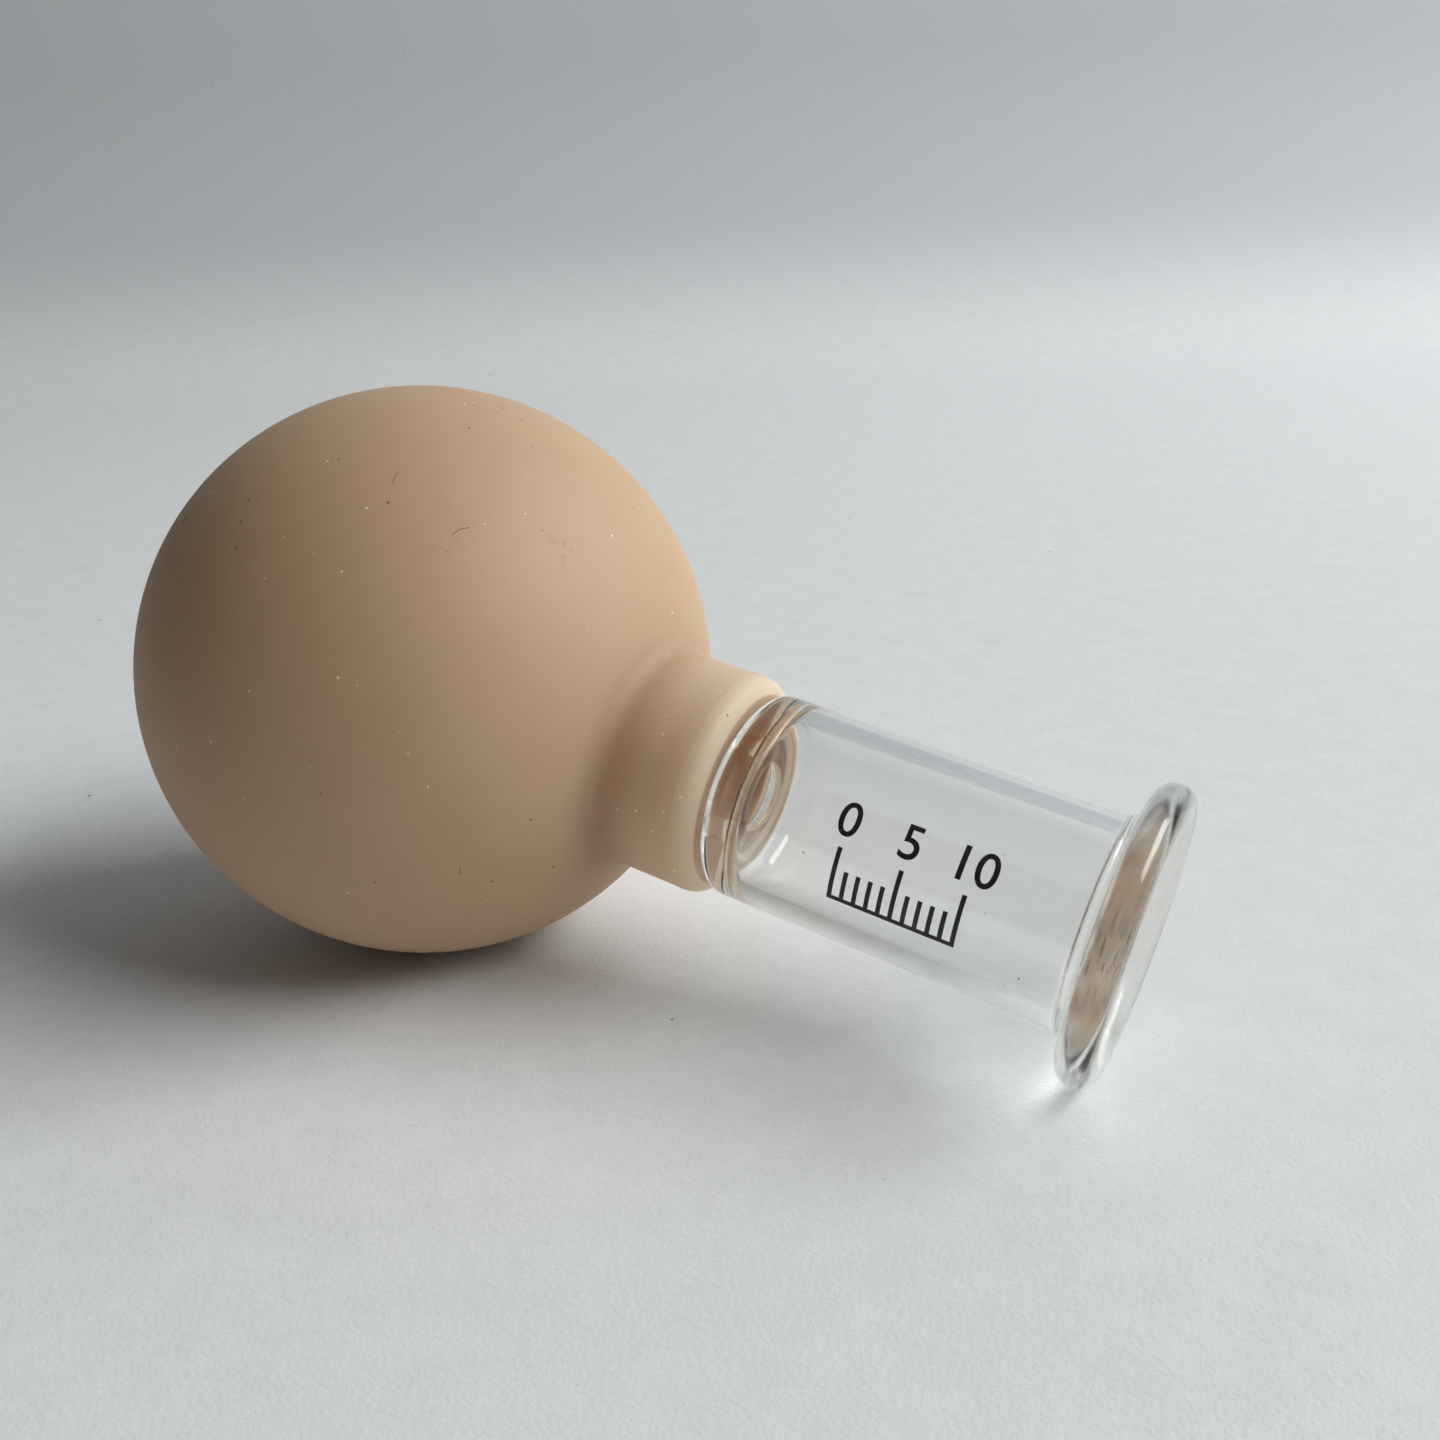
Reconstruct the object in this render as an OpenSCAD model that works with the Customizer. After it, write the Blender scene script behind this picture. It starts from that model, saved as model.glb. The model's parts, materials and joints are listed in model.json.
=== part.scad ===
// Facial suction cup: a clear glass tube with a rolled rim, and a soft silicone
// bulb whose collar grips the tube's nozzle. Millimetres, +Z up, lying at rest:
// the bulb's belly and the bottom of the rim touch the table at Z = 0.
// Every sub-part is a revolved profile on one leaning axis. In a profile, X is the
// distance from that axis and Y runs along it, from the bulb's centre to the mouth.

/* [Silicone bulb] */
// Outside diameter of the bulb
bulb_d = 51; // [44:0.5:56]
// Wall thickness of the bulb
bulb_wall = 2.8; // [2:0.1:3.5]
// Width of the flat that the bulb's weight presses into its belly
belly_flat_d = 6.4; // [3:0.2:8]
// Diameter of the crown, the back of the bulb that a thumb presses in
crown_d = 30; // [24:1:32]

/* [Collar] */
// Outside diameter of the collar
collar_d = 19; // [17:0.1:19.5]
// Distance from the bulb's centre to the collar's end
collar_end = 32.5; // [30:0.5:34]
// Radius of the hollow blend where the collar meets the bulb
collar_blend = 2; // [1:0.5:3]
// Radius of the collar's rounded outer edge
collar_edge = 1.5; // [0.8:0.1:1.6]

/* [Glass tube] */
// Outside diameter of the tube
tube_d = 17.4; // [17:0.1:18.6]
// Wall thickness of the tube
tube_wall = 1.5; // [1.4:0.1:1.8]
// Distance from the shoulder to the middle of the rim
tube_len = 32.8; // [28:0.2:40]
// Thickness of the glass that closes the tube at the shoulder
end_wall = 2; // [1.6:0.1:2.5]
// Outside radius of the shoulder's corner
shoulder_round = 1.9; // [1.2:0.1:2]

/* [Rim] */
// Outside diameter of the rolled rim
rim_d = 24.2; // [24:0.1:26]
// Radius of the rim's round lip
lip_round = 1.5; // [1.3:0.1:1.6]
// Width of the flat land on the face of the lip
land_w = 1; // [0.8:0.1:1.2]
// Radius of the hollow corner between the tube and the back of the rim
flare_r = 1.4; // [0.8:0.1:1.5]
// Angle of the flared mouth, measured from the tube's axis
mouth_angle = 50; // [45:1:55]
// Radius where the bore opens into the flared mouth
mouth_round = 1; // [0.6:0.1:1.5]

/* [Nozzle] */
// Outside diameter of the nozzle
nozzle_d = 10.5; // [9.5:0.1:11]
// Diameter of the air hole through the nozzle
air_hole_d = 6; // [4.5:0.1:6.5]
// Length of the nozzle behind the shoulder
nozzle_len = 12.5; // [10:0.5:14]

/* [Hidden] */
$fn = 96;

bulb_r = bulb_d / 2;
hollow_r = bulb_r - bulb_wall;
belly_flat_r = belly_flat_d / 2;
belly_drop = bulb_r - sqrt(pow(bulb_r, 2) - pow(belly_flat_r, 2));
crown_r = crown_d / 2;
crown_gap = 0.05;                     // clearance round the crown
collar_r = collar_d / 2;
sink = 0.001;                         // how far two shapes that should just touch overlap
seat_gap = 0.05;                      // between the collar's end and the shoulder
shoulder_y = collar_end + seat_gap;
tube_r = tube_d / 2;
bore_r = tube_r - tube_wall;
bore_round = 2.2;                     // inside corner at the closed end
rim_y = shoulder_y + tube_len;
lip_x = rim_d / 2 - lip_round;
face_y = rim_y + sqrt(pow(lip_round, 2) - pow(land_w / 2, 2));
nozzle_r = nozzle_d / 2;
grip_gap = 0.05;                      // clearance between the nozzle and the collar
grip_r = nozzle_r + grip_gap;
air_hole_r = air_hole_d / 2;
tip_round = 0.6;                      // rounded end of the nozzle
lead_in = 1;                          // chamfer at the mouth of the collar
past = 1;                             // how far a cutter runs past what it cuts

// The belly and the rim both touch Z = 0, which sets how far the axis leans. The part
// ends in the upper outer edge of the land.
bulb_z = bulb_r - belly_drop;
lean = asin((bulb_z - lip_round) / norm([rim_y, lip_x])) - atan2(lip_x, rim_y);
back_x = -bulb_r;
front_x = face_y * cos(lean) + (lip_x + land_w / 2) * sin(lean);
bulb_x = -(back_x + front_x) / 2;

// Revolves a profile and lays it on the leaning axis, mouth towards +X. The half
// turn puts the line where the revolved surface closes on top, clear of the belly.
module on_axis() {
    translate([bulb_x, 0, bulb_z])
        rotate([0, 90 + lean, 0])
            rotate([0, 0, 180])
                rotate_extrude() children();
}

// Rectangle from the axis out to a radius, between two places along the axis.
module disc(r, low, high) {
    translate([0, low]) square([r, high - low]);
}

// Disc whose corner at the low end is rounded.
module disc_round_low(r, low, high, round) {
    disc(r - round, low, high);
    disc(r, low + round, high);
    translate([r - round, low + round]) circle(round);
}

// Disc whose corner at the high end is rounded.
module disc_round_high(r, low, high, round) {
    disc(r - round, low, high);
    disc(r, low, high - round);
    translate([r - round, high - round]) circle(round);
}

// Hollow blend between the ball of the bulb and its collar.
module collar_blend_profile() {
    blend_x = collar_r + collar_blend;
    blend_y = sqrt(pow(bulb_r + collar_blend - sink, 2) - pow(blend_x, 2));
    difference() {
        polygon([[0, 0], [blend_x, blend_y], [0, blend_y]]);
        translate([blend_x, blend_y]) circle(collar_blend);
    }
}

// Whole bulb: ball, collar and blend, with the hollow and the collar's bore.
module bulb_profile() {
    difference() {
        union() {
            intersection() {
                circle(bulb_r);
                disc(bulb_r + past, -bulb_r - past, bulb_r + past);
            }
            disc_round_high(collar_r, 0, collar_end, collar_edge);
            collar_blend_profile();
        }
        circle(hollow_r);
        disc(grip_r, 0, collar_end + past);
        polygon([
            [0, collar_end - lead_in],
            [grip_r, collar_end - lead_in],
            [grip_r + lead_in + past, collar_end + past],
            [0, collar_end + past]
        ]);
    }
}

// Flared mouth: what is cut away inside the rim, down to where the straight bore starts.
module mouth_profile() {
    lip_in = [lip_x, rim_y] + (lip_round - sink) * [-cos(mouth_angle), sin(mouth_angle)];
    turn_in = (mouth_round - sink) * [-cos(mouth_angle), sin(mouth_angle)];
    turn_x = bore_r + mouth_round;
    turn_y = lip_in[1] - turn_in[1] - (lip_in[0] - turn_x - turn_in[0]) / tan(mouth_angle);
    difference() {
        polygon([
            [0, turn_y],
            [turn_x, turn_y],
            [turn_x, turn_y] + turn_in,
            lip_in,
            [lip_in[0], face_y + past],
            [0, face_y + past]
        ]);
        translate([turn_x, turn_y]) circle(mouth_round);
    }
}

// Round lip, ground flat in a narrow land on its face.
module lip_profile() {
    difference() {
        translate([lip_x, rim_y]) circle(lip_round);
        disc(rim_d, face_y, face_y + past);
    }
}

// Back of the rim with the hollow corner that leads into it from the tube.
module rim_profile() {
    back_y = rim_y - lip_round;
    disc(lip_x, back_y, rim_y + (lip_round - sink) * sin(mouth_angle));
    difference() {
        translate([bore_r, back_y - flare_r]) square([tube_wall + flare_r, flare_r + lip_round]);
        translate([tube_r + flare_r, back_y - flare_r]) circle(flare_r);
    }
}

// Clear glass tube with its shoulder, nozzle and rolled rim.
module glass_cup() {
    color([0.88, 0.93, 0.92, 0.45])
        on_axis() {
            difference() {
                union() {
                    disc_round_low(tube_r, shoulder_y, rim_y, shoulder_round);
                    disc_round_low(nozzle_r, shoulder_y - nozzle_len, shoulder_y + past, tip_round);
                    rim_profile();
                }
                disc_round_low(bore_r, shoulder_y + end_wall, face_y + past, bore_round);
                disc(air_hole_r, shoulder_y - nozzle_len - past, shoulder_y + end_wall + past);
                mouth_profile();
            }
            lip_profile();
        }
}

// Silicone bulb with its collar, open where the crown sits, flat under its belly.
module bulb_body() {
    color([0.84, 0.71, 0.60])
        difference() {
            on_axis()
                difference() {
                    bulb_profile();
                    disc(crown_r + crown_gap, -bulb_r - past, 0);
                }
            translate([bulb_x - bulb_r, -bulb_r, -past]) cube([bulb_d, bulb_d, past]);
        }
}

// Back of the same moulding, the round area that dents when the bulb is pressed.
module bulb_crown() {
    color([0.80, 0.66, 0.55])
        on_axis()
            intersection() {
                bulb_profile();
                disc(crown_r, -bulb_r - past, 0);
            }
}

glass_cup();
bulb_body();
bulb_crown();
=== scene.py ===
"""A small facial suction cup lying on white paper: a clear glass tube and a beige silicone bulb."""

import json
import math

import bmesh
import bpy
from mathutils import Matrix, Vector


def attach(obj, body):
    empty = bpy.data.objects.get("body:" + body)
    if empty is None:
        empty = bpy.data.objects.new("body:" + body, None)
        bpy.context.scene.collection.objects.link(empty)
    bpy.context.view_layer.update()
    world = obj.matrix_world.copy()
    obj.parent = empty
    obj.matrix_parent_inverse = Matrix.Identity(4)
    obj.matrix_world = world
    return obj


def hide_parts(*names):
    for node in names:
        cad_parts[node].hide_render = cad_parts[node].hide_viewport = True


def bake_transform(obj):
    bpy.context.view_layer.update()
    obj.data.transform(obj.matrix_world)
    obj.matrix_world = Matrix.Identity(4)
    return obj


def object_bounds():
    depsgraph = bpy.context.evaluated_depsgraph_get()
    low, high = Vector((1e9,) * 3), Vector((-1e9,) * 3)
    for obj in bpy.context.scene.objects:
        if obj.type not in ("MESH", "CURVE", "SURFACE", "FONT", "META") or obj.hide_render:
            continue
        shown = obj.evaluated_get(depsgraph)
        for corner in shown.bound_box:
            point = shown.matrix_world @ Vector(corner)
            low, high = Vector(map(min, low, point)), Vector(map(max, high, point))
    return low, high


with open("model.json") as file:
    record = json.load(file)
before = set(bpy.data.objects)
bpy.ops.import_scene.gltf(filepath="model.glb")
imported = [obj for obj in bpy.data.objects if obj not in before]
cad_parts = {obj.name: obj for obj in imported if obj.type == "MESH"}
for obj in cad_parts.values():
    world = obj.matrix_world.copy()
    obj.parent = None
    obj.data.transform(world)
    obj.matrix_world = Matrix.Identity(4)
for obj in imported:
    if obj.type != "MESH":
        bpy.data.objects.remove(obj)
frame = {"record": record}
cad_low, cad_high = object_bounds()

# ---------------------------------------------------------------- Paper, light and camera
# A sheet of white drawing paper swept up behind the cup, one wide window high on the right
# and a dim room round the rest. None of it belongs to the cup.

mm = 0.001
scene = bpy.context.scene
scene.view_settings.view_transform = "Standard"

# Light passes through many walls of the glass before it comes out again.
scene.cycles.max_bounces = 48
scene.cycles.glossy_bounces = 32
scene.cycles.transmission_bounces = 32
scene.cycles.transparent_max_bounces = 32

view_azimuth = math.radians(29.05)
view_elevation = math.radians(19.56)
view_roll = math.radians(-2.4)
view_distance = 123 * mm
view_target = Vector((8.8, 0, 24.5)) * mm


def towards(azimuth, elevation):
    """Direction from the cup to a place at this azimuth and elevation; azimuth 0 is -Y, 90 is +X."""
    flat = math.cos(elevation)
    return Vector((math.sin(azimuth) * flat, -math.cos(azimuth) * flat, math.sin(elevation)))


def look_along(direction, roll=0.0):
    """Rotation of a camera or lamp that faces along a direction."""
    turn = direction.to_track_quat("-Z", "Y")
    return turn @ Matrix.Rotation(roll, 3, "Z").to_quaternion()


camera = bpy.data.objects.new("camera", bpy.data.cameras.new("camera"))
scene.collection.objects.link(camera)
scene.camera = camera
to_camera = towards(view_azimuth, view_elevation)
camera.location = view_target + to_camera * view_distance
camera.rotation_mode = "QUATERNION"
camera.rotation_quaternion = look_along(-to_camera, view_roll)
camera.data.lens = 37.25
camera.data.sensor_width = 36
camera.data.clip_start = 5 * mm


def new_mesh(name, bm):
    """Turns a finished bmesh into a smooth-shaded object at the origin."""
    mesh = bpy.data.meshes.new(name)
    bm.to_mesh(mesh)
    bm.free()
    mesh.shade_smooth()
    piece = bpy.data.objects.new(name, mesh)
    scene.collection.objects.link(piece)
    return piece


def new_material(name, **sockets):
    """A material with one Principled BSDF, with plain values set on its own sockets."""
    material = bpy.data.materials.new(name)
    material.use_nodes = True
    shader = material.node_tree.nodes["Principled BSDF"]
    for socket, value in sockets.items():
        shader.inputs[socket.replace("_", " ")].default_value = value
    return material, material.node_tree.nodes, material.node_tree.links, shader


paper_width = 2400 * mm
paper_front = -1100 * mm
paper_back = 420 * mm
paper_sweep_r = 120 * mm
paper_height = 900 * mm
bm = bmesh.new()
corner = bm.verts.new((0, paper_front, 0))
corner = bmesh.ops.extrude_vert_indiv(bm, verts=[corner])["verts"][0]
corner.co = Vector((0, paper_back, 0))
curved = bmesh.ops.spin(
    bm, geom=[corner], cent=(0, paper_back, paper_sweep_r), axis=(1, 0, 0), angle=math.pi / 2, steps=32
)
corner = next(part for part in curved["geom_last"] if isinstance(part, bmesh.types.BMVert))
corner = bmesh.ops.extrude_vert_indiv(bm, verts=[corner])["verts"][0]
corner.co.z += paper_height
bmesh.ops.translate(bm, verts=bm.verts, vec=(-paper_width / 2, 0, 0))
widened = bmesh.ops.extrude_edge_only(bm, edges=bm.edges)["geom"]
far_edge = [part for part in widened if isinstance(part, bmesh.types.BMVert)]
bmesh.ops.translate(bm, verts=far_edge, vec=(paper_width, 0, 0))
bmesh.ops.rotate(bm, verts=bm.verts, matrix=Matrix.Rotation(view_azimuth, 3, "Z"))
bmesh.ops.recalc_face_normals(bm, faces=bm.faces)
paper = new_mesh("paper_sweep", bm)


def new_group(name, inputs, outputs):
    """An empty node group with named sockets, given as {name: (socket type, default)}."""
    group = bpy.data.node_groups.new(name, "ShaderNodeTree")
    for socket, (kind, value) in inputs.items():
        made = group.interface.new_socket(socket, in_out="INPUT", socket_type=kind)
        if value is not None:
            made.default_value = value
    for socket in outputs:
        group.interface.new_socket(socket, in_out="OUTPUT", socket_type="NodeSocketFloat")
    return group, group.nodes.new("NodeGroupInput"), group.nodes.new("NodeGroupOutput")


def compute(nodes, links, operation, *values):
    """A Math node on sockets or plain numbers; gives its output socket."""
    node = nodes.new("ShaderNodeMath")
    node.operation = operation
    for slot, value in zip(node.inputs, values):
        if isinstance(value, bpy.types.NodeSocket):
            links.new(value, slot)
        else:
            slot.default_value = value
    return node.outputs["Value"]


def blend_colours(nodes, links, factor, first, second):
    """A colour mix of two colours, each a socket or a plain (r, g, b); gives its output socket."""
    node = nodes.new("ShaderNodeMix")
    node.data_type = "RGBA"
    links.new(factor, node.inputs["Factor"])
    for slot, value in ((node.inputs["A"], first), (node.inputs["B"], second)):
        if isinstance(value, bpy.types.NodeSocket):
            links.new(value, slot)
        else:
            slot.default_value = (*value, 1)
    return node.outputs["Result"]


def noise(nodes, links, vector, scale, detail=2.0, roughness=0.5):
    """A plain noise pattern; gives its 0 to 1 output socket."""
    node = nodes.new("ShaderNodeTexNoise")
    node.inputs["Scale"].default_value = scale
    node.inputs["Detail"].default_value = detail
    node.inputs["Roughness"].default_value = roughness
    links.new(vector, node.inputs["Vector"])
    return node.outputs["Fac"]


def spread(nodes, links, value, low, high, to_low=0.0, to_high=1.0):
    """A smooth ramp between two values; gives its output socket."""
    node = nodes.new("ShaderNodeMapRange")
    node.interpolation_type = "SMOOTHSTEP"
    links.new(value, node.inputs["Value"])
    for socket, number in (("From Min", low), ("From Max", high), ("To Min", to_low), ("To Max", to_high)):
        node.inputs[socket].default_value = number
    return node.outputs["Result"]


# Dust: one grain in a few of the cells of a cell pattern, some pale and some dark.
dust, dust_in, dust_out = new_group(
    "settled_dust",
    {
        "Vector": ("NodeSocketVector", None),
        "Scale": ("NodeSocketFloat", 900.0),
        "Grain": ("NodeSocketFloat", 0.1),
        "Pale Share": ("NodeSocketFloat", 0.05),
        "Dark Share": ("NodeSocketFloat", 0.02),
    },
    ["Pale", "Dark"],
)
cells = dust.nodes.new("ShaderNodeTexVoronoi")
dust.links.new(dust_in.outputs["Vector"], cells.inputs["Vector"])
dust.links.new(dust_in.outputs["Scale"], cells.inputs["Scale"])
chance = dust.nodes.new("ShaderNodeSeparateColor")
dust.links.new(cells.outputs["Color"], chance.inputs["Color"])
uneven = spread(dust.nodes, dust.links, chance.outputs["Blue"], 0, 1, 0.4, 1.6)
grain_size = compute(dust.nodes, dust.links, "MULTIPLY", dust_in.outputs["Grain"], uneven)
near = compute(dust.nodes, dust.links, "LESS_THAN", cells.outputs["Distance"], grain_size)
pale = compute(dust.nodes, dust.links, "LESS_THAN", chance.outputs["Red"], dust_in.outputs["Pale Share"])
dark = compute(dust.nodes, dust.links, "LESS_THAN", chance.outputs["Green"], dust_in.outputs["Dark Share"])
dust.links.new(compute(dust.nodes, dust.links, "MULTIPLY", near, pale), dust_out.inputs["Pale"])
dust.links.new(compute(dust.nodes, dust.links, "MULTIPLY", near, dark), dust_out.inputs["Dark"])


def add_dust(nodes, links, vector, scale, grain, pale_share, dark_share):
    """Places the dust group in a material; gives its pale and dark output sockets."""
    node = nodes.new("ShaderNodeGroup")
    node.node_tree = dust
    links.new(vector, node.inputs["Vector"])
    node.inputs["Scale"].default_value = scale
    node.inputs["Grain"].default_value = grain
    node.inputs["Pale Share"].default_value = pale_share
    node.inputs["Dark Share"].default_value = dark_share
    return node.outputs["Pale"], node.outputs["Dark"]


def bump(nodes, links, height, distance, strength=1.0):
    """A Bump node of this depth in metres; gives its normal output socket."""
    node = nodes.new("ShaderNodeBump")
    node.inputs["Strength"].default_value = strength
    node.inputs["Distance"].default_value = distance
    links.new(height, node.inputs["Height"])
    return node.outputs["Normal"]


fibre_whites = ((0.775, 0.784, 0.788), (0.82, 0.829, 0.833))
felted_white = (0.84, 0.848, 0.85)
# Painted shade: the grey that the sheet turns where it rises behind the cup.
painted_shade_grey = (0.60, 0.625, 0.635)
crumb_brown = (0.30, 0.28, 0.26)
speck_white = (0.93, 0.94, 0.94)
speck_grey = (0.68, 0.69, 0.69)
painted_shade_height = 60 * mm
tooth_depth = 0.14 * mm
material, nodes, links, shader = new_material("drawing_paper", Roughness=0.85)
shader.inputs["Specular IOR Level"].default_value = 0.2
place = nodes.new("ShaderNodeTexCoord").outputs["Object"]
fibre = noise(nodes, links, place, scale=2400, detail=5, roughness=0.6)
felted = noise(nodes, links, place, scale=180, detail=4, roughness=0.8)
sheet = blend_colours(nodes, links, fibre, *fibre_whites)
sheet = blend_colours(nodes, links, spread(nodes, links, felted, 0.3, 0.7), sheet, felted_white)
place_part = nodes.new("ShaderNodeSeparateXYZ")
links.new(place, place_part.inputs["Vector"])
# Painted shade: the rising part of the sheet is painted grey, for the window's light that falls off there.
painted_shade_rise = spread(nodes, links, place_part.outputs["Z"], 0, painted_shade_height)
sheet = blend_colours(nodes, links, painted_shade_rise, sheet, painted_shade_grey)
crumbs = add_dust(nodes, links, place, scale=260, grain=0.045, pale_share=0, dark_share=0.03)[1]
sheet = blend_colours(nodes, links, crumbs, sheet, crumb_brown)
pale, dark = add_dust(nodes, links, place, scale=1100, grain=0.07, pale_share=0.05, dark_share=0.05)
sheet = blend_colours(nodes, links, pale, sheet, speck_white)
sheet = blend_colours(nodes, links, dark, sheet, speck_grey)
links.new(sheet, shader.inputs["Base Color"])
tooth = compute(nodes, links, "ADD", fibre, felted)
links.new(bump(nodes, links, tooth, tooth_depth, 0.35), shader.inputs["Normal"])
paper.data.materials.append(material)

# The window is a broad pane of even, slightly cool daylight.
window_distance = 1600 * mm
window_way = towards(math.radians(108), math.radians(41))
window = bpy.data.lights.new("window_light", "AREA")
window.shape = "RECTANGLE"
window.size = 1440 * mm
window.size_y = 580 * mm
window.energy = 25.5
window.color = (0.965, 1.0, 1.01)
lamp = bpy.data.objects.new("window_light", window)
scene.collection.objects.link(lamp)
lamp.location = window_way * window_distance
lamp.rotation_mode = "QUATERNION"
lamp.rotation_quaternion = look_along(-window_way)

# The room's walls are grey on the window's side and dark brown on the far side.
room = bpy.data.worlds.new("room")
scene.world = room
room.use_nodes = True
backdrop = room.node_tree.nodes["Background"]
backdrop.inputs["Strength"].default_value = 1
outwards = room.node_tree.nodes.new("ShaderNodeTexCoord")
window_side = room.node_tree.nodes.new("ShaderNodeVectorMath")
window_side.operation = "DOT_PRODUCT"
window_side.inputs[1].default_value = towards(math.radians(119), math.radians(20))
glow = room.node_tree.nodes.new("ShaderNodeMapRange")
glow.interpolation_type = "SMOOTHERSTEP"
wall = room.node_tree.nodes.new("ShaderNodeMix")
wall.data_type = "RGBA"
wall.inputs["A"].default_value = (0.034, 0.026, 0.020, 1)
wall.inputs["B"].default_value = (0.21, 0.215, 0.22, 1)
room.node_tree.links.new(outwards.outputs["Generated"], window_side.inputs[0])
room.node_tree.links.new(window_side.outputs["Value"], glow.inputs["Value"])
room.node_tree.links.new(glow.outputs["Result"], wall.inputs["Factor"])
room.node_tree.links.new(wall.outputs["Result"], backdrop.inputs["Color"])


# ---------------------------------------------------------------- Silicone bulb
# One hollow moulding of soft beige silicone, ball and collar together. Its collar is
# stretched over the nozzle of the glass.

mounts = {mount["name"]: mount for mount in frame["record"]["mounts"]}
mouth_way = Vector(mounts["mouth"]["axis"])
bulb_r = 25.5 * mm

# The ball is the tallest part, and it rests on the flat under its middle.
bulb_centre = Vector((mounts["resting_flat"]["pos_m"][0], 0, cad_high.z - bulb_r))
upright = Vector((0, 0, 1)).rotation_difference(mouth_way)
axis_frame = Matrix.Translation(bulb_centre) @ upright.to_matrix().to_4x4()
bulb_wall = 2.8 * mm
hollow_r = bulb_r - bulb_wall
collar_r = 9.5 * mm
collar_end = 32.5 * mm
collar_edge = 1.5 * mm
collar_blend = 2 * mm
grip_r = 5.23 * mm  # a little smaller than the nozzle, so the collar clings to it
seated = 0.07 * mm  # how far the soft end is pressed on past the collar's free length
seam_from_end = 1.7 * mm  # a fine mould line that runs round the collar
seam_r = 0.12 * mm
seam_height = 0.04 * mm
bulb_turns = 192
thick_from = 24.5 * mm  # from here on the wall is thicker than the ball's, and the collar is painted paler there as light
thick_to = 28.5 * mm
# Where the collar's end is painted brown as shade and pale as light:
shaded_face_r = 7.1 * mm
lit_face_r = 6.5 * mm
shaded_from_end = 1.5 * mm
lit_from_end = 3 * mm
smudge_r = 2.6 * mm
skin_grain = 0.02 * mm
beiges = ((0.51, 0.31, 0.178), (0.565, 0.35, 0.208))
# Painted light: the paler beige that the collar is painted towards its end.
painted_light_collar_beige = (0.64, 0.47, 0.32)
# Painted light and painted shade at the collar's end: a pale beige, then browns.
painted_light_end_beige = (0.62, 0.50, 0.385)
painted_shade_face_browns = ((0.32, 0.195, 0.12), (0.50, 0.33, 0.22))
painted_shade_bore_browns = ((0.30, 0.175, 0.105), (0.42, 0.265, 0.17))
smudge_brown = (0.42, 0.27, 0.17)
dust_cream = (0.86, 0.74, 0.58)
dust_brown = (0.16, 0.09, 0.05)


def line_to(bm, corner, radius, along):
    """Draws a profile on from a vertex to a radius and a place along the axis."""
    corner = bmesh.ops.extrude_vert_indiv(bm, verts=[corner])["verts"][0]
    corner.co = Vector((radius, 0, along))
    return corner


def arc_to(bm, corner, radius, along, degrees, steps):
    """Draws a profile on round a centre; positive degrees turn from +X towards +Z."""
    turned = bmesh.ops.spin(
        bm,
        geom=[corner],
        cent=(radius, 0, along),
        axis=(0, -1, 0),
        angle=math.radians(degrees),
        steps=steps,
    )
    return next(part for part in turned["geom_last"] if isinstance(part, bmesh.types.BMVert))


def turn_profile(bm, turns):
    """Turns a profile all the way round, closes it and points its faces outwards."""
    bmesh.ops.spin(
        bm,
        geom=bm.verts[:] + bm.edges[:],
        cent=(0, 0, 0),
        axis=(0, 0, 1),
        angle=2 * math.pi,
        steps=turns,
        use_merge=True,
    )
    bmesh.ops.remove_doubles(bm, verts=bm.verts, dist=0.0005 * mm)
    bmesh.ops.recalc_face_normals(bm, faces=bm.faces)


blend_x = collar_r + collar_blend
blend_y = math.sqrt((bulb_r + collar_blend) ** 2 - blend_x**2)
blend_turn = math.degrees(math.atan2(blend_y, blend_x))
hollow_y = math.sqrt(hollow_r**2 - grip_r**2)
hollow_turn = math.degrees(math.atan2(hollow_y, grip_r))
bm = bmesh.new()
corner = bm.verts.new((0, 0, -bulb_r))
corner = arc_to(bm, corner, 0, 0, 90 + blend_turn, 72)
corner = arc_to(bm, corner, blend_x, blend_y, -blend_turn, 10)
corner = line_to(bm, corner, collar_r, collar_end - seam_from_end - seam_r)
corner = line_to(bm, corner, collar_r + seam_height, collar_end - seam_from_end)
corner = line_to(bm, corner, collar_r, collar_end - seam_from_end + seam_r)
corner = line_to(bm, corner, collar_r, collar_end + seated - collar_edge)
corner = arc_to(bm, corner, collar_r - collar_edge, collar_end + seated - collar_edge, 90, 10)
corner = line_to(bm, corner, grip_r, collar_end + seated)
corner = line_to(bm, corner, grip_r, hollow_y)
corner = arc_to(bm, corner, 0, 0, -90 - hollow_turn, 48)
turn_profile(bm, bulb_turns)
bm.transform(axis_frame)
for vert in bm.verts:
    vert.co.z = max(vert.co.z, 0)  # the belly is flat where it rests on the table


def keep_rest_place(piece):
    """Stores where each point lies at rest, so that a pattern stays on the skin when it bends."""
    held = piece.data.attributes.new("rest_place", "FLOAT_VECTOR", "POINT")
    held.data.foreach_set("vector", [part for vert in piece.data.vertices for part in vert.co])


def rest_place(nodes):
    """The stored resting place; gives its vector output socket."""
    node = nodes.new("ShaderNodeAttribute")
    node.attribute_name = "rest_place"
    return node.outputs["Vector"]


bulb = new_mesh("squeeze_bulb", bm)
keep_rest_place(bulb)
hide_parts("bulb_body", "bulb_crown")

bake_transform(bulb)


def measure(nodes, links, operation, first, second=None):
    """A Vector Math node on sockets or plain vectors; gives its vector or its number output socket."""
    node = nodes.new("ShaderNodeVectorMath")
    node.operation = operation
    for slot, value in ((node.inputs[0], first), (node.inputs[1], second)):
        if isinstance(value, bpy.types.NodeSocket):
            links.new(value, slot)
        elif value is not None:
            slot.default_value = value
    return node.outputs["Value" if operation in ("DOT_PRODUCT", "LENGTH", "DISTANCE") else "Vector"]


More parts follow.
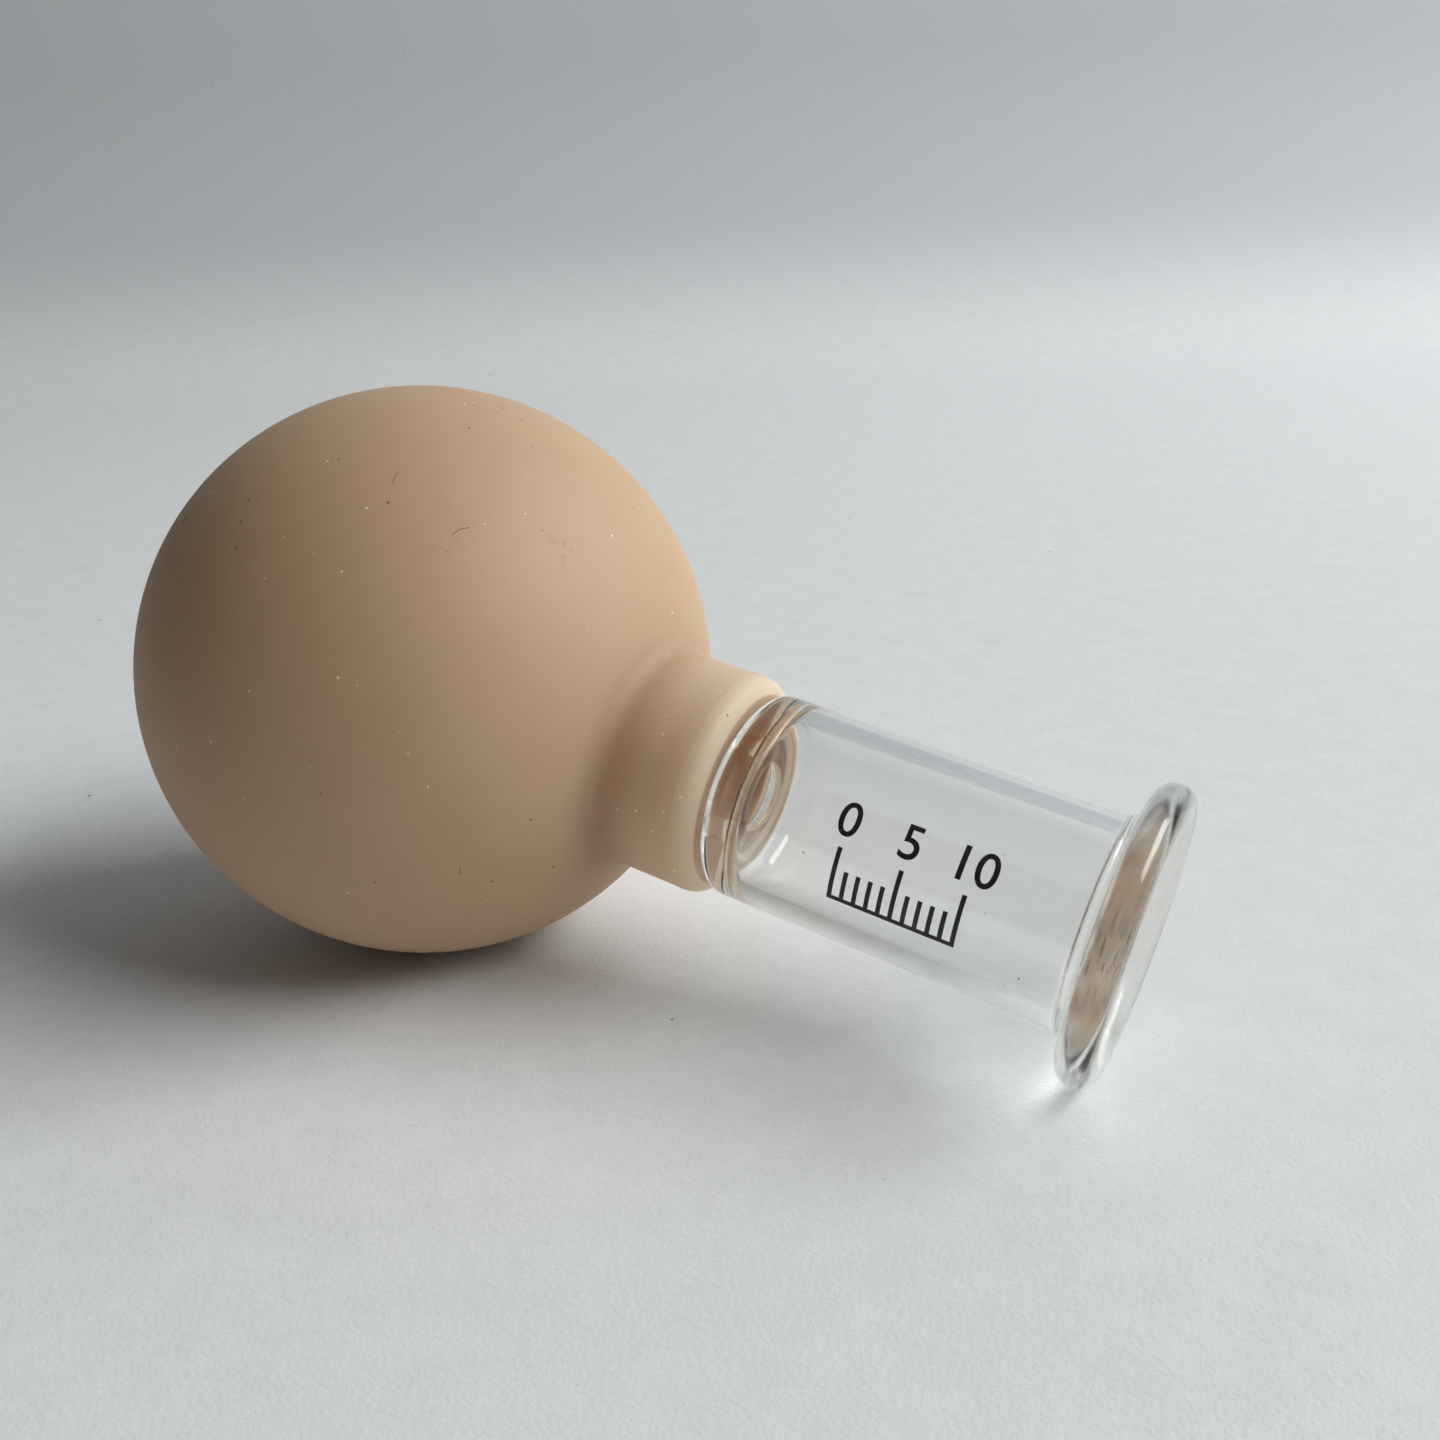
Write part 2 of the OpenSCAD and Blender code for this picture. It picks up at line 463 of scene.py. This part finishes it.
material, nodes, links, shader = new_material(
    "matte_silicone", Roughness=0.66, Subsurface_Weight=1.0, Subsurface_Scale=0.014
)
shader.inputs["Subsurface Radius"].default_value = (1.0, 0.84, 0.7)
shader.inputs["Specular IOR Level"].default_value = 0.9
place = rest_place(nodes)
from_centre = measure(nodes, links, "SUBTRACT", place, bulb_centre)
along = measure(nodes, links, "DOT_PRODUCT", from_centre, mouth_way)
off_axis = measure(nodes, links, "LENGTH", measure(nodes, links, "CROSS_PRODUCT", from_centre, mouth_way))
thick_end = spread(nodes, links, along, thick_from, thick_to)
cloudy = noise(nodes, links, place, scale=150, detail=3)
moulded = blend_colours(nodes, links, cloudy, *beiges)
# Painted light: the collar is painted paler towards its end, for the light that comes through the glass.
moulded = blend_colours(nodes, links, thick_end, moulded, painted_light_collar_beige)

# Painted shade and light where the collar meets the glass: the outer part of its end face and
# the end of its bore are painted brown as shade; the inner face and the bore further in, pale as light.
end_face = spread(nodes, links, along, collar_end, collar_end + seated * 0.9)
outer_part = spread(nodes, links, off_axis, lit_face_r, shaded_face_r)
blotchy = noise(nodes, links, place, scale=500, detail=3)
face_light_and_shade = blend_colours(nodes, links, blotchy, *painted_shade_face_browns)
face_light_and_shade = blend_colours(nodes, links, outer_part, painted_light_end_beige, face_light_and_shade)
moulded = blend_colours(nodes, links, end_face, moulded, face_light_and_shade)
# Painted shade at the bore's end, painted light further in.
bore_face = spread(nodes, links, off_axis, grip_r + 0.3 * mm, grip_r + 0.1 * mm)
bore_face = compute(nodes, links, "MULTIPLY", bore_face, thick_end)
near_end = spread(nodes, links, along, collar_end - lit_from_end, collar_end - shaded_from_end)
uneven = noise(nodes, links, place, scale=700, detail=2)
bore_light_and_shade = blend_colours(nodes, links, uneven, *painted_shade_bore_browns)
bore_light_and_shade = blend_colours(nodes, links, near_end, painted_light_end_beige, bore_light_and_shade)
moulded = blend_colours(nodes, links, bore_face, moulded, bore_light_and_shade)

# A smudge of dirt on the upper front of the ball, dust all over, and the mould's fine grain.
smudge_place = bulb_centre + bulb_r * Vector((0.785, -0.255, 0.565))
from_smudge = measure(nodes, links, "DISTANCE", place, smudge_place)
patchy = noise(nodes, links, place, scale=1100, detail=3)
smudge = spread(nodes, links, from_smudge, 0, smudge_r, 0.9, 0.0)
smudge = compute(nodes, links, "MULTIPLY", smudge, spread(nodes, links, patchy, 0.5, 0.62))
moulded = blend_colours(nodes, links, smudge, moulded, smudge_brown)
pale, dark = add_dust(nodes, links, place, scale=700, grain=0.055, pale_share=0.45, dark_share=0.16)
moulded = blend_colours(nodes, links, pale, moulded, dust_cream)
moulded = blend_colours(nodes, links, dark, moulded, dust_brown)
links.new(moulded, shader.inputs["Base Color"])
grain = noise(nodes, links, place, scale=5200, detail=4, roughness=0.6)
links.new(bump(nodes, links, grain, skin_grain, 0.5), shader.inputs["Normal"])
bulb.data.materials.append(material)


# ---------------------------------------------------------------- Lint on the bulb
# A few short fibres of dark lint that have settled on the ball. Silicone is slightly tacky,
# so they cling to its skin.

lint_r = 0.03 * mm
lint_browns = ((0.05, 0.035, 0.025), (0.13, 0.09, 0.06))

# Each fibre: its way from the ball's centre, its heading in degrees, its length in
# millimetres, and how far it curls in degrees.
bm = bmesh.new()
for toward, heading, length, curl in (
    ((0.596, -0.461, 0.658), -12, 1.6, 55),
    ((0.348, -0.468, 0.812), 48, 1.2, 45),
    ((0.355, 0.089, 0.931), -30, 0.6, 60),
    ((-0.42, -0.62, 0.66), 100, 1.1, 90),
    ((-0.30, 0.75, 0.59), 10, 1.2, 120),
    ((0.10, 0.55, 0.83), 140, 0.8, 50),
    ((0.62, -0.70, -0.36), 60, 0.7, 70),
):
    out = Vector(toward).normalized()
    side = out.cross(Vector((0, 0, 1))).normalized()
    side.rotate(Matrix.Rotation(math.radians(heading), 3, out))
    bend_r = length * mm / math.radians(curl)
    start = bulb_centre + out * (bulb_r + lint_r * 0.6)
    facing = Matrix.Translation(start) @ side.to_track_quat("Z", "Y").to_matrix().to_4x4()
    ring = bmesh.ops.create_circle(bm, segments=5, radius=lint_r, matrix=facing)["verts"]
    edges = list({edge for vert in ring for edge in vert.link_edges})
    bend_centre = start + out.cross(side) * bend_r
    bmesh.ops.spin(bm, geom=ring + edges, cent=bend_centre, axis=out, angle=math.radians(curl), steps=12)
for vert in bm.verts:
    out = vert.co - bulb_centre
    vert.co = bulb_centre + out.normalized() * (bulb_r + (out.length - bulb_r) * 0.5)  # pressed flat
lint = new_mesh("lint_fibres", bm)
keep_rest_place(lint)
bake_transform(lint)
material, nodes, links, shader = new_material("dark_lint", Roughness=0.8)
place = rest_place(nodes)
shade = noise(nodes, links, place, scale=3000, detail=2)
links.new(blend_colours(nodes, links, shade, *lint_browns), shader.inputs["Base Color"])
lint.data.materials.append(material)


# ---------------------------------------------------------------- Glass cup
# Clear glass tube, drawn down to a nozzle behind its shoulder and rolled into a thick rim
# at the mouth, with every edge rounded in the flame. The nozzle sits in the bulb's collar.

tube_r = 8.7 * mm
bore_r = 7.2 * mm
bore_round = 2.2 * mm
shoulder_y = 32.55 * mm
shoulder_round = 1.9 * mm
end_wall = 2 * mm
rim_y = 65.35 * mm
lip_r = 1.5 * mm
lip_x = 10.6 * mm
land = 0.5 * mm  # half the width of the flat ground on the lip
flare_r = 1.4 * mm
mouth_turn = 50  # degrees that the flared mouth opens from the tube's axis
mouth_round = 1 * mm
nozzle_r = 5.25 * mm
nozzle_root = 0.6 * mm
nozzle_tip = 20.05 * mm
tip_round = 0.6 * mm
air_r = 3 * mm
glass_turns = 256
ripple_depth = 0.02 * mm
unroll_r = 1.3 * mm  # the lip is unrolled as if it were this small, which draws the scuffs out
clear_tint = (0.95, 0.955, 0.945)
rim_tint = (0.94, 0.938, 0.89)
scuff_brown = (0.27, 0.18, 0.13)
dust_grey = (0.25, 0.22, 0.20)
light_through_face = (0.60, 0.605, 0.60)
light_through_edge = (0.1, 0.105, 0.1)

# The flared mouth is a cone that runs into the lip and into the rounded end of the bore.
face_y = rim_y + math.sqrt(lip_r**2 - land**2)
land_turn = math.degrees(math.asin(land / lip_r))
slope = Vector((-math.cos(math.radians(mouth_turn)), math.sin(math.radians(mouth_turn))))
cone_top = Vector((lip_x, rim_y)) + lip_r * slope
turn_x = bore_r + mouth_round
cone_low_x = turn_x + mouth_round * slope.x
cone_low_y = cone_top.y - (cone_top.x - cone_low_x) / math.tan(math.radians(mouth_turn))
turn_y = cone_low_y - mouth_round * slope.y
bm = bmesh.new()
start = bm.verts.new((air_r, 0, nozzle_tip + tip_round))
corner = arc_to(bm, start, air_r + tip_round, nozzle_tip + tip_round, 90, 5)
corner = line_to(bm, corner, nozzle_r - tip_round, nozzle_tip)
corner = arc_to(bm, corner, nozzle_r - tip_round, nozzle_tip + tip_round, 90, 5)
corner = line_to(bm, corner, nozzle_r, shoulder_y - nozzle_root)
corner = arc_to(bm, corner, nozzle_r + nozzle_root, shoulder_y - nozzle_root, -90, 5)
corner = line_to(bm, corner, tube_r - shoulder_round, shoulder_y)
corner = arc_to(bm, corner, tube_r - shoulder_round, shoulder_y + shoulder_round, 90, 12)
corner = line_to(bm, corner, tube_r, rim_y - lip_r - flare_r)
corner = arc_to(bm, corner, tube_r + flare_r, rim_y - lip_r - flare_r, -90, 10)
corner = line_to(bm, corner, lip_x, rim_y - lip_r)
corner = arc_to(bm, corner, lip_x, rim_y, 180 - land_turn, 18)
corner = line_to(bm, corner, lip_x - land, face_y)
corner = arc_to(bm, corner, lip_x, rim_y, 90 - mouth_turn - land_turn, 6)
corner = line_to(bm, corner, cone_low_x, cone_low_y)
corner = arc_to(bm, corner, turn_x, turn_y, mouth_turn, 12)
corner = line_to(bm, corner, bore_r, shoulder_y + end_wall + bore_round)
corner = arc_to(bm, corner, bore_r - bore_round, shoulder_y + end_wall + bore_round, -90, 10)
corner = line_to(bm, corner, air_r + tip_round, shoulder_y + end_wall)
corner = arc_to(bm, corner, air_r + tip_round, shoulder_y + end_wall - tip_round, 90, 5)
corner = line_to(bm, corner, air_r, nozzle_tip + tip_round)
turn_profile(bm, glass_turns)
bm.transform(axis_frame)
glass = new_mesh("glass_tube", bm)
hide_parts("glass_cup")
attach(glass, "cup")

material, nodes, links, shader = new_material("blown_glass", Roughness=0.0, IOR=1.5, Transmission_Weight=1.0)
place = nodes.new("ShaderNodeTexCoord").outputs["Object"]
stood_up = nodes.new("ShaderNodeMapping")
stood_up.inputs["Rotation"].default_value = upright.inverted().to_euler()
links.new(measure(nodes, links, "SUBTRACT", place, bulb_centre), stood_up.inputs["Vector"])
on_axis = stood_up.outputs["Vector"]
part = nodes.new("ShaderNodeSeparateXYZ")
links.new(on_axis, part.inputs["Vector"])
along = part.outputs["Z"]
off_axis = measure(nodes, links, "LENGTH", measure(nodes, links, "MULTIPLY", on_axis, (1, 1, 0)))

# Ripples drawn out along the tube, deepest on the rim, which was worked last.
drawn_out = measure(nodes, links, "MULTIPLY", on_axis, (1, 1, 0.3))
worked = spread(nodes, links, along, turn_y - 3 * mm, turn_y, 0.2, 1.0)
wavy = noise(nodes, links, drawn_out, scale=420, detail=2)
ripple = compute(nodes, links, "MULTIPLY", wavy, worked)
links.new(bump(nodes, links, ripple, ripple_depth), shader.inputs["Normal"])

# Short dark scuffs that run round the lip, thickest on its near side.
angle = compute(nodes, links, "ARCTAN2", part.outputs["Y"], part.outputs["X"])
unrolled = nodes.new("ShaderNodeCombineXYZ")
links.new(compute(nodes, links, "MULTIPLY", angle, unroll_r), unrolled.inputs["X"])
links.new(off_axis, unrolled.inputs["Y"])
links.new(along, unrolled.inputs["Z"])
rubbed = noise(nodes, links, unrolled.outputs["Vector"], scale=4600, detail=4, roughness=0.6)
worn_spot = (-0.33 * lip_x, -0.95 * lip_x, face_y - 0.5 * mm)
from_worn_spot = measure(nodes, links, "DISTANCE", on_axis, worn_spot)
worn = spread(nodes, links, from_worn_spot, 1.5 * mm, 6 * mm, 1, 0.12)
on_rim = spread(nodes, links, along, rim_y - lip_r, rim_y - 0.5 * lip_r)
worn = compute(nodes, links, "MULTIPLY", worn, on_rim)
scuffs = compute(nodes, links, "MULTIPLY", spread(nodes, links, rubbed, 0.46, 0.64), worn)

# The glass is clear, faintly yellow in the thick rim. Scuffs and dust dull its polish, and
# so does a slight haze that grows from the mouth's turn to the rim.
clear = blend_colours(nodes, links, on_rim, clear_tint, rim_tint)
clear = blend_colours(nodes, links, scuffs, clear, scuff_brown)
pale, dark = add_dust(nodes, links, place, scale=700, grain=0.05, pale_share=0.1, dark_share=0.05)
links.new(blend_colours(nodes, links, dark, clear, dust_grey), shader.inputs["Base Color"])
specks = compute(nodes, links, "MULTIPLY", compute(nodes, links, "MAXIMUM", pale, dark), 0.6)
scuffed = compute(nodes, links, "MAXIMUM", specks, compute(nodes, links, "MULTIPLY", scuffs, 0.3))
hazy = spread(nodes, links, along, turn_y - 2.5 * mm, rim_y - 0.5 * mm, 0, 0.16)
links.new(compute(nodes, links, "MAXIMUM", scuffed, hazy), shader.inputs["Roughness"])

# The window's light goes through the walls, and less of it where they are seen edge-on.
edge_on = nodes.new("ShaderNodeLayerWeight")
edge_on.inputs["Blend"].default_value = 0.4
passed = nodes.new("ShaderNodeMix")
passed.data_type = "RGBA"
passed.inputs["A"].default_value = (*light_through_face, 1)
passed.inputs["B"].default_value = (*light_through_edge, 1)
lets_through = nodes.new("ShaderNodeBsdfTransparent")
rays = nodes.new("ShaderNodeLightPath")
either = nodes.new("ShaderNodeMixShader")
links.new(edge_on.outputs["Facing"], passed.inputs["Factor"])
links.new(passed.outputs["Result"], lets_through.inputs["Color"])
links.new(rays.outputs["Is Shadow Ray"], either.inputs["Fac"])
links.new(shader.outputs["BSDF"], either.inputs[1])
links.new(lets_through.outputs["BSDF"], either.inputs[2])
links.new(either.outputs["Shader"], nodes["Material Output"].inputs["Surface"])
glass.data.materials.append(material)


# ---------------------------------------------------------------- Printed scale
# A thin skin of black ink on the near side of the tube: a plain rule in millimetres that
# shows how far the skin is drawn up. It is fired on, so it goes wherever the glass goes.

ink_r = tube_r + 0.012 * mm
scale_start = 44.6 * mm
scale_angle = -6  # degrees, from the near side up towards the top
line_width = 0.38 * mm
tick_step = 1 * mm
last_tick = 10
long_every = 5
long_tick = 26  # degrees round the tube, as the next two are
short_tick = 15
number_base = 32
number_size = 3.78 * mm
number_boldness = 0.008  # as a share of the number's size
ink_blacks = ((0.008, 0.008, 0.009), (0.022, 0.022, 0.024))
near_side = Vector((0, -1, 0))


def on_tube(degrees, along):
    """Point of the print, at an angle from the near side of the tube up towards its top."""
    upper = near_side.cross(mouth_way)
    turn = math.radians(degrees)
    return bulb_centre + mouth_way * along + ink_r * (near_side * math.cos(turn) + upper * math.sin(turn))


def ink_patch(bm, from_degrees, to_degrees, from_along, to_along):
    """A rectangle of ink that follows the tube's curve."""
    ends = [bm.verts.new(on_tube(from_degrees, along)) for along in (from_along, to_along)]
    edge = bm.edges.new(ends)
    bmesh.ops.spin(
        bm,
        geom=ends + [edge],
        cent=bulb_centre,
        axis=-mouth_way,
        angle=math.radians(to_degrees - from_degrees),
        steps=max(2, round((to_degrees - from_degrees) / 2)),
    )


bm = bmesh.new()
line_degrees = math.degrees(line_width / ink_r)
line_start = scale_start - line_width / 2
line_end = scale_start + last_tick * tick_step + line_width / 2
ink_patch(bm, scale_angle - line_degrees, scale_angle, line_start, line_end)
for tick in range(last_tick + 1):
    along = scale_start + tick * tick_step
    turn = short_tick if tick % long_every else long_tick
    ink_patch(bm, scale_angle, scale_angle + turn, along - line_width / 2, along + line_width / 2)
for number in range(0, last_tick + 1, long_every):
    lettering = bpy.data.curves.new("number", "FONT")
    lettering.body = str(number)
    lettering.size = number_size
    lettering.offset = number_boldness * number_size
    lettering.align_x = "CENTER"
    flat = bpy.data.objects.new("number", lettering)
    shape = flat.to_mesh()
    letter = bmesh.new()
    letter.from_mesh(shape)
    flat.to_mesh_clear()
    bpy.data.objects.remove(flat)
    bmesh.ops.triangulate(letter, faces=letter.faces)
    bmesh.ops.subdivide_edges(letter, edges=letter.edges, cuts=3, use_grid_fill=True)
    for vert in letter.verts:
        turn = scale_angle + number_base + math.degrees(vert.co.y / ink_r)
        vert.co = on_tube(turn, scale_start + number * tick_step + vert.co.x)
    shape = bpy.data.meshes.new("number")
    letter.to_mesh(shape)
    letter.free()
    bm.from_mesh(shape)
    bpy.data.meshes.remove(shape)
    bpy.data.curves.remove(lettering)
bmesh.ops.recalc_face_normals(bm, faces=bm.faces)
for face in bm.faces:  # separate flat patches have no outside, so each is turned away from the axis
    middle = face.calc_center_median() - bulb_centre
    if face.normal.dot(middle - mouth_way * middle.dot(mouth_way)) < 0:
        face.normal_flip()
ink = new_mesh("printed_scale", bm)
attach(ink, "cup")
material, nodes, links, shader = new_material("black_ink", Roughness=0.45)
place = nodes.new("ShaderNodeTexCoord").outputs["Object"]
patchy = noise(nodes, links, place, scale=2600, detail=3)
links.new(blend_colours(nodes, links, patchy, *ink_blacks), shader.inputs["Base Color"])
links.new(spread(nodes, links, patchy, 0.3, 0.7, 0.38, 0.6), shader.inputs["Roughness"])
ink.data.materials.append(material)
